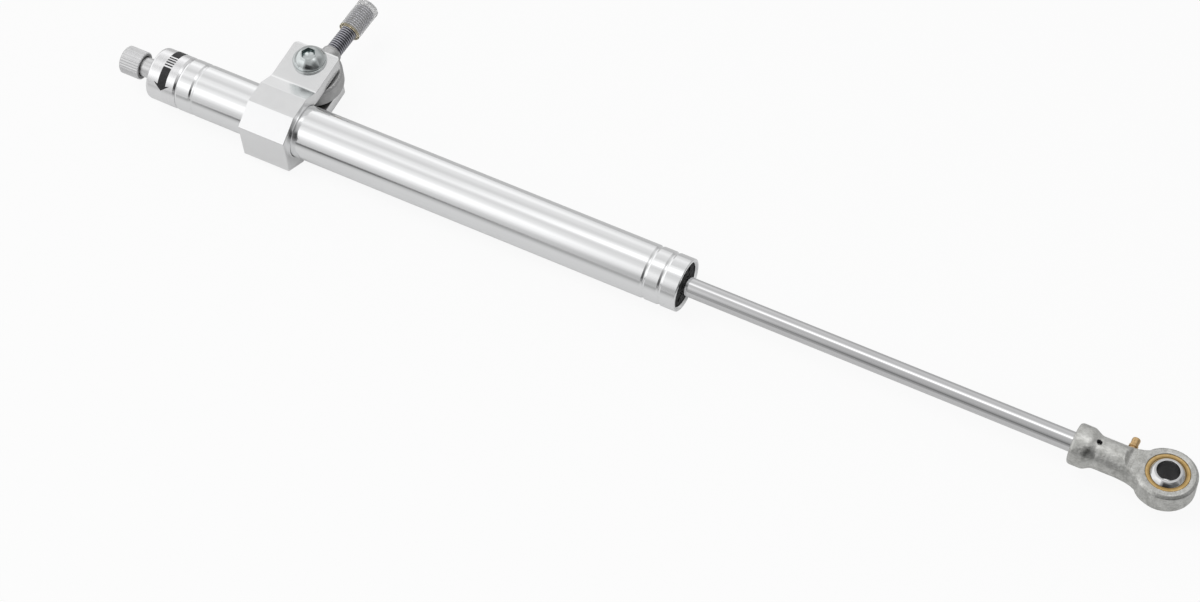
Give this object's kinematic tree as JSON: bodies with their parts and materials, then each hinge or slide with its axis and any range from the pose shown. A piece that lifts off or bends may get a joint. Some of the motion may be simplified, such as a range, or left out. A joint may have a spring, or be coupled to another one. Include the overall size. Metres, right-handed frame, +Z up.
{
  "type": "motorcycle steering damper",
  "caption": "Telescopic steering damper: polished barrel with adjuster knob, sliding rod with a ball-jointed rod end, and a sliding clamp with a swivelling threaded stud.",
  "frame": {"origin": "centre of the ball in the rod end, on the rod's axis, with the rod fully out", "axes": "+X along the barrel and out of the rod end, +Z up along the bolt hole through the ball, +Y towards the clamp's ears"},
  "size_m": [0.529, 0.0932, 0.0388],
  "materials": {
    "polished_aluminium": "polished",
    "turned_aluminium": "turned, satin",
    "clamp_aluminium": "machined, bright",
    "knob_aluminium": "knurled, satin",
    "inner_steel": "ground",
    "bearing_steel": "polished",
    "rod_chrome": "hard chrome",
    "cast_steel": "cast, zinc plated",
    "forged_steel": "cast, zinc plated",
    "brass": "plain",
    "nipple_brass": "dull",
    "black_rubber": "matt",
    "foam_rubber": "closed cell",
    "seal_plastic": "filled, matt",
    "bumper_plastic": "matt",
    "black_anodised": "black anodised",
    "valve_brass": "turned",
    "screw_steel": "bright zinc",
    "washer_steel": "bright zinc",
    "stud_steel": "dark zinc",
    "cap_plastic": "clear, soft"
  },
  "bodies": {
    "barrel": {"outer_tube": "polished_aluminium", "end_cap": "turned_aluminium", "cap_o_ring": "black_rubber", "inner_cylinder": "inner_steel", "valve_block": "valve_brass", "valve_o_ring": "black_rubber", "check_ball": "bearing_steel", "check_spring": "inner_steel", "compensator_foam": "foam_rubber", "rod_guide": "turned_aluminium", "guide_bush": "valve_brass", "rod_seal": "black_rubber", "guide_o_ring": "black_rubber", "gland_nut": "black_anodised", "wiper_seal": "black_rubber", "top_out_bumper": "bumper_plastic", "detent_ball": "bearing_steel", "detent_spring": "inner_steel"},
    "needle": {"adjuster_needle": "valve_brass", "needle_o_ring": "black_rubber"},
    "knob": {"adjuster_knob": "knob_aluminium", "knob_grub_screw": "stud_steel"},
    "ring": {"piston_ring": "seal_plastic"},
    "rod": {"piston_rod": "rod_chrome", "piston": "turned_aluminium", "piston_shims": "inner_steel", "piston_nut": "inner_steel", "rod_end_housing": "cast_steel", "rod_end_race": "brass", "grease_nipple": "nipple_brass"},
    "rod_ball": {"rod_end_ball": "bearing_steel"},
    "clamp": {"clamp_bracket": "clamp_aluminium", "pivot_screw": "screw_steel", "pivot_washer": "washer_steel"},
    "swivel": {"pivot_ball": "bearing_steel"},
    "eye": {"pivot_eye": "forged_steel", "eye_race": "brass", "threaded_stud": "stud_steel"},
    "cap": {"thread_cap": "cap_plastic"}
  },
  "joints": [
    {"name": "rod_stroke", "type": "slide", "parent": "barrel", "child": "ring", "axis": [1, 0, 0], "range_m": [-0.175, 0]},
    {"name": "rod_turn", "type": "hinge", "parent": "ring", "child": "rod", "pos_m": [-0.25, 0, 0], "axis": [1, 0, 0], "continuous": true},
    {"name": "rod_end_swivel", "type": "hinge", "parent": "rod", "child": "rod_ball", "pos_m": [0, 0, 0], "axis": [0, 0, 1], "continuous": true},
    {"name": "needle_feed", "type": "slide", "parent": "barrel", "child": "needle", "axis": [1, 0, 0], "range_m": [0, 0.003]},
    {"name": "adjuster_turn", "type": "hinge", "parent": "needle", "child": "knob", "pos_m": [-0.5075, 0, 0], "axis": [1, 0, 0], "range_deg": [-20, 1100]},
    {"name": "clamp_slide", "type": "slide", "parent": "barrel", "child": "clamp", "axis": [1, 0, 0], "range_m": [-0.034, 0.19]},
    {"name": "pivot_swivel", "type": "hinge", "parent": "clamp", "child": "swivel", "pos_m": [-0.431, 0.02817, 0.00271], "axis": [0, -0.0958, 0.9954], "range_deg": [-86, 94]},
    {"name": "eye_tilt", "type": "hinge", "parent": "swivel", "child": "eye", "pos_m": [-0.431, 0.02817, 0.00271], "axis": [0.9976, -0.0694, -0.0067], "range_deg": [-5, 5]},
    {"name": "cap_pull", "type": "slide", "parent": "eye", "child": "cap", "axis": [0.0698, 0.993, 0.0956], "range_m": [0, 0.02]}
  ],
  "couplings": [
    {"joint": "adjuster_turn", "follows": "needle_feed", "rad_per_m": 6283.2}
  ]
}
